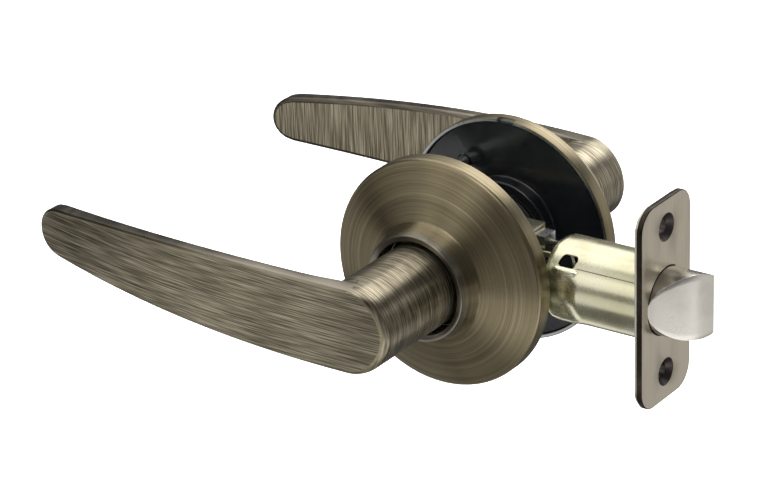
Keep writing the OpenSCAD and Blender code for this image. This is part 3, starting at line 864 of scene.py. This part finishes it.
def bolt():
    back_x, stem_x = 54.8, low("latch_bolt").x
    stem_r, rod_hole_r, rod_stop, bore_r, bore_end = 5.5, 2.1, 1.8, 3.8, 64.0
    centre, r, start, end = bevel_arc()
    steps = 26
    # (x, where the bevel cuts, how much the section shrinks)
    stations = [(back_x, -BOLT_R, 0.5), (back_x + 0.5, -BOLT_R, 0.0), (PLATE_FRONT - 0.3, -BOLT_R, 0.0)]
    for i in range(steps + 1):
        a = start + (end - start) * i / steps
        stations.append((centre.x + r * cos(a), centre.y + r * sin(a), 0.0))
    verts, faces = [], []
    for x, bevel_y, shrink in stations:
        section = bolt_section(x, bevel_y, shrink)
        verts += section
    n = len(section)
    count = len(stations)
    for i in range(count - 1):
        for j in range(n):
            k = (j + 1) % n
            faces.append((i * n + j, i * n + k, (i + 1) * n + k, (i + 1) * n + j))
    faces.append(tuple((count - 1) * n + j for j in range(n)))
    # back: an annulus to the stem, the stem's wall, and the hollow inside it
    rings = [(stem_r, back_x), (stem_r, stem_x + 0.4), (stem_r - 0.4, stem_x), (rod_hole_r, stem_x),
             (rod_hole_r, stem_x + rod_stop), (bore_r, stem_x + rod_stop), (bore_r, bore_end)]
    section = verts[:n]
    ring_start = []
    for ring_r, x in rings:
        ring_start.append(len(verts))
        for _, y, z in section:
            length = hypot(y, z)
            verts.append((x, min(y / length * ring_r, BOLT_FLAT), z / length * ring_r))
    previous = 0
    for start_i in ring_start:
        for j in range(n):
            k = (j + 1) % n
            faces.append((previous + j, previous + k, start_i + k, start_i + j))
        previous = start_i
    faces.append(tuple(previous + j for j in range(n)))
    obj = piece("latch_bolt_casting", verts, faces, "bolt", "latch_bolt", [bolt_nickel],
                None, None, 30)
    # round the sharp edges that stand out of the faceplate
    from_x, edge_r = PLATE_FRONT + 0.4, 0.22
    bm = bmesh.new()
    bm.from_mesh(obj.data)
    picked = []
    for edge in bm.edges:
        xs = [v.co.x * 1000 for v in edge.verts]
        if len(edge.link_faces) == 2 and min(xs) > from_x and edge.calc_face_angle(0) > radians(24):
            picked.append(edge)
    bmesh.ops.bevel(bm, geom=picked, offset=edge_r / 1000, segments=3, profile=0.5, affect="EDGES",
                    clamp_overlap=True)
    bm.to_mesh(obj.data)
    bm.free()
    finish_shading(obj.data, 30)


bolt()


# Latch tube: rolled sheet with a seam, a lanced window and a pressed hollow on its exterior side
def bump(value, middle, half, soft):
    """1 near the middle, falling to 0 past half on either side."""
    return 1 - smoothstep(abs(value - middle), half - soft, half + soft)


def tube_radius(x, a):
    """Radius at x and at angle a, in degrees above the exterior side."""
    r = TUBE_R - 0.05           # clear of the backplate's hole
    # pressed hollow, and the swelling below it
    r -= 1.5 * bump(x, 32.0, 5.6, 2.6) * bump(a, -8, 26, 14)
    r += 0.4 * bump(x, 34.5, 3.6, 2.4) * bump(a, -50, 10, 7)
    # the lanced window's lip stands proud
    r += 0.6 * bump(x, 35.2, 3.0, 1.2) * bump(a, 33, 2.8, 2.4)
    return r


def window_cutter():
    """Block through the tube's wall with the window's slanting outline."""
    turn, half = radians(47.5), 1.9
    outward, upward = Vector((0, -cos(turn), sin(turn))), Vector((0, sin(turn), cos(turn)))
    outline = rounded([(32.6, -half, 0.9), (37.6, -half, 0.7), (38.3, half, 1.3), (33.4, half, 1.5)])
    verts = [tuple(Vector((x, 0, 0)) + upward * v + outward * depth)
             for depth in (TUBE_R - 3.5, TUBE_R + 2.5) for x, v in outline]
    n = len(outline)
    faces = [(i, (i + 1) % n, n + (i + 1) % n, n + i) for i in range(n)]
    return verts, faces + [tuple(reversed(range(n))), tuple(range(n, 2 * n))]


def tube():
    """Tail with a round hole, rounded corner, and a wall that is divided more finely where it is pressed."""
    corner, tail_r, tail_steps = 2.8, 5.9, 10
    wall_start, pressed_end = TUBE_START + corner, 38.5
    pressed_steps, plain_steps = 44, 50
    seam_start = 38.6
    angles = [-180 + TUBE_STEP * i for i in range(round(360 / TUBE_STEP))]
    columns = len(angles)
    tail = [(tail_r, TUBE_START)] + [
        (TUBE_R - corner + corner * sin(a), TUBE_START + corner * (1 - cos(a)))
        for a in (pi / 2 * i / tail_steps for i in range(tail_steps))]
    xs = [wall_start + (pressed_end - wall_start) * i / pressed_steps for i in range(pressed_steps)]
    xs += [pressed_end + (PLATE_BACK - pressed_end) * i / plain_steps for i in range(plain_steps + 1)]
    verts, faces, mats = [], [], []

    def ring(x, radius_at):
        for a in angles:
            r = radius_at(a)
            verts.append((x, -r * cos(radians(a)), r * sin(radians(a))))

    for r, x in tail:
        press = smoothstep(x, TUBE_START, wall_start)
        ring(x, lambda a: r + (tube_radius(wall_start, a) - TUBE_R) * press)
    for x in xs:
        ring(x, lambda a: tube_radius(x, a))
    stations = [x for _, x in tail] + xs
    for i in range(len(stations) - 1):
        x = (stations[i] + stations[i + 1]) / 2
        for j in range(columns):
            k = (j + 1) % columns
            mats.append(int(x > seam_start and abs(angles[j] + TUBE_STEP / 2 - SEAM) < TUBE_STEP))
            faces.append((i * columns + j, i * columns + k, (i + 1) * columns + k, (i + 1) * columns + j))
    obj = piece("latch_tube_rolled", verts, faces, "latch_case", "latch_tube",
                [yellow_zinc, seam_line], mats, None, 50)
    shell = obj.modifiers.new("wall", "SOLIDIFY")
    shell.thickness = TUBE_WALL / 1000
    shell.offset = -1
    apply_modifiers(obj)
    cut_holes(obj, [window_cutter()])
    finish_shading(obj.data, 50)


tube()


# Springs, as round wire swept along a coil
def wire_piece(name, points, wire_r, body, replaced):
    """Round wire along points in millimetres, in the frame's own axes."""
    curve = bpy.data.curves.new(name, "CURVE")
    curve.dimensions = "3D"
    curve.bevel_depth = wire_r / 1000
    curve.bevel_resolution = 4
    curve.use_fill_caps = True
    spline = curve.splines.new("POLY")
    spline.points.add(len(points) - 1)
    for point, co in zip(spline.points, points):
        point.co = (*(Vector(co) / 1000), 1)
    drawn = add_object(name, curve)
    mesh = evaluated_mesh(drawn)
    bpy.data.objects.remove(drawn)
    mesh.name = name
    mesh.materials.clear()
    mesh.materials.append(spring_steel)
    finish_shading(mesh, 40)
    stand_for(add_object(name, mesh), body, replaced)


def bolt_spring():
    """Coil at the length that the frame gives it, which is its squeezed length."""
    wire_r, mean_r, turns, per_turn = 0.5, 7.4, 8, 40
    start, end = low("bolt_spring").x + wire_r, high("bolt_spring").x - wire_r
    points = []
    for i in range(turns * per_turn + 1):
        a = 2 * pi * i / per_turn
        x = start + (end - start) * i / (turns * per_turn)
        points.append((x, mean_r * sin(a), mean_r * cos(a)))
    wire_piece("bolt_spring_wire", points, wire_r, "bolt", "bolt_spring")


def return_spring(name, body, replaced, place, hand):
    """Two turns round the hub, one leg in to the hub's lug and one out to the cage."""
    wire_r, mean_r, low_z, pitch, turns, per_turn = 0.55, 13.6, 5.7, 1.15, 2, 72
    inner, inner_step, outer, outer_step = 3.4, 0.5, 0.4, 0.475
    # the inner leg meets the coil's foot and the outer leg leaves its top, both on +X until they are turned
    points = [(mean_r - inner + inner_step * i, 0, low_z) for i in range(6)]
    for i in range(turns * per_turn + 1):
        a = 2 * pi * i / per_turn
        points.append((mean_r * cos(a), mean_r * sin(a), low_z + pitch * i / per_turn))
    points += [(mean_r + outer + outer_step * i, 0, low_z + pitch * turns) for i in range(5)]
    turn, shift = place.to_3x3(), place.translation * 1000
    placed = [turn @ Vector((hand * y, -x, z)) + shift for x, y, z in points]
    wire_piece(name, placed, wire_r, body, replaced)


bolt_spring()
return_spring("exterior_return_spring_wire", "exterior_half", "exterior_return_spring", EXTERIOR, 1)
return_spring("interior_return_spring_wire", "interior_half", "interior_return_spring", INTERIOR, -1)


# Camera, at the photograph's viewing angle
def camera():
    """Turned by yaw, pitch and roll about the origin, and aimed a little past it.

    Lengths are in metres, apart from the lens and its sensor.
    """
    yaw, pitch, roll = radians(35.13), radians(23.88), radians(-1.89)
    distance, aim_right, aim_up, lens = 0.87217, -0.02156, 0.00058, 148.8
    back = Vector((sin(yaw) * cos(pitch), -cos(yaw) * cos(pitch), sin(pitch)))
    level = Vector((cos(yaw), sin(yaw), 0))
    upright = back.cross(level)
    right = level * cos(roll) + upright * sin(roll)
    up = upright * cos(roll) - level * sin(roll)
    data = bpy.data.cameras.new("camera")
    data.lens = lens
    data.sensor_width = 36
    obj = add_object("camera", data)
    turn = Matrix((right, up, back)).transposed().to_4x4()
    obj.matrix_world = Matrix.Translation(right * aim_right + up * aim_up + back * distance) @ turn
    bpy.context.scene.camera = obj


# Light: azimuth 0 stands on the -Y side and 90 on the +X side, as the camera's yaw counts it
def softbox(name, azimuth, elevation, side, power):
    """Square light that faces the origin. Angles are in degrees, side in metres and power in watts."""
    distance = 0.9
    a, e = radians(azimuth), radians(elevation)
    toward = Vector((sin(a) * cos(e), -cos(a) * cos(e), sin(e)))
    data = bpy.data.lights.new(name, "AREA")
    data.size = side
    data.energy = power
    obj = add_object(name, data)
    facing = toward.to_track_quat("Z", "Y").to_matrix().to_4x4()
    obj.matrix_world = Matrix.Translation(toward * distance) @ facing
    obj.visible_camera = False


LIGHTS = [
    # name, azimuth, elevation, side, power
    ("front_left", -45, 10, 0.55, 0.45),
    ("front_left_low", -35, -20, 0.45, 0.5),
    ("left_low", -80, -15, 0.45, 0.4),
    ("front_low", 0, -15, 0.45, 0.32),
    ("front_high", -20, 25, 0.45, 0.6),
    ("front_left_high", -45, 42, 0.5, 0.5),
    ("right_low", 90, -20, 0.45, 0.35),
    ("back_right", 135, 10, 0.5, 0.8),
    ("back_right_low", 145, -24, 0.5, 0.48),
    ("front_top", 12, 54, 0.45, 1.7),
    ("top", 0, 85, 0.6, 1.4),
    ("left_high", -90, 62, 0.5, 1.0),
    ("back_left_high", -135, 45, 0.55, 1.3),
    ("back_high", 180, 45, 0.55, 4.2),
    ("back_low", 180, 8, 0.4, 1.5),
    ("below_front", 8, -38, 0.4, 0.6),
    ("below_right", 60, -40, 0.55, 1.1),
    ("below_left", -110, -50, 0.45, 0.65),
    ("below", 0, -85, 0.6, 0.3),
]


def studio():
    world = bpy.data.worlds.new("world")
    bpy.context.scene.world = world
    world.use_nodes = True
    background = world.node_tree.nodes["Background"]
    background.inputs["Color"].default_value = (0.15, 0.15, 0.15, 1)
    background.inputs["Strength"].default_value = 1.0
    for light in LIGHTS:
        softbox(*light)
    # a round floor with a wall behind it, so that level views have no horizon
    floor_z, wall_top, reach, sides = -0.14, 5.0, 6.0, 24
    ring = [(reach * cos(a), reach * sin(a)) for a in even_angles(sides)]
    wall = [(i, (i + 1) % sides, sides + (i + 1) % sides, sides + i) for i in range(sides)]
    mesh = bpy.data.meshes.new("floor")
    mesh.from_pydata([(x, y, z) for z in (floor_z, wall_top) for x, y in ring], [],
                     [tuple(range(sides))] + wall)
    material, _, shader = new_material("pale_floor")
    shader.inputs["Base Color"].default_value = (0.9, 0.9, 0.9, 1)
    shader.inputs["Roughness"].default_value = 0.9
    shader.inputs["Emission Color"].default_value = (1, 1, 1, 1)
    shader.inputs["Emission Strength"].default_value = 0.8
    mesh.materials.append(material)
    floor = add_object("floor", mesh)
    # metal reflects the softboxes only
    floor.visible_glossy = False
    floor.visible_shadow = False
    bpy.context.scene.view_settings.view_transform = "Standard"


camera()
studio()
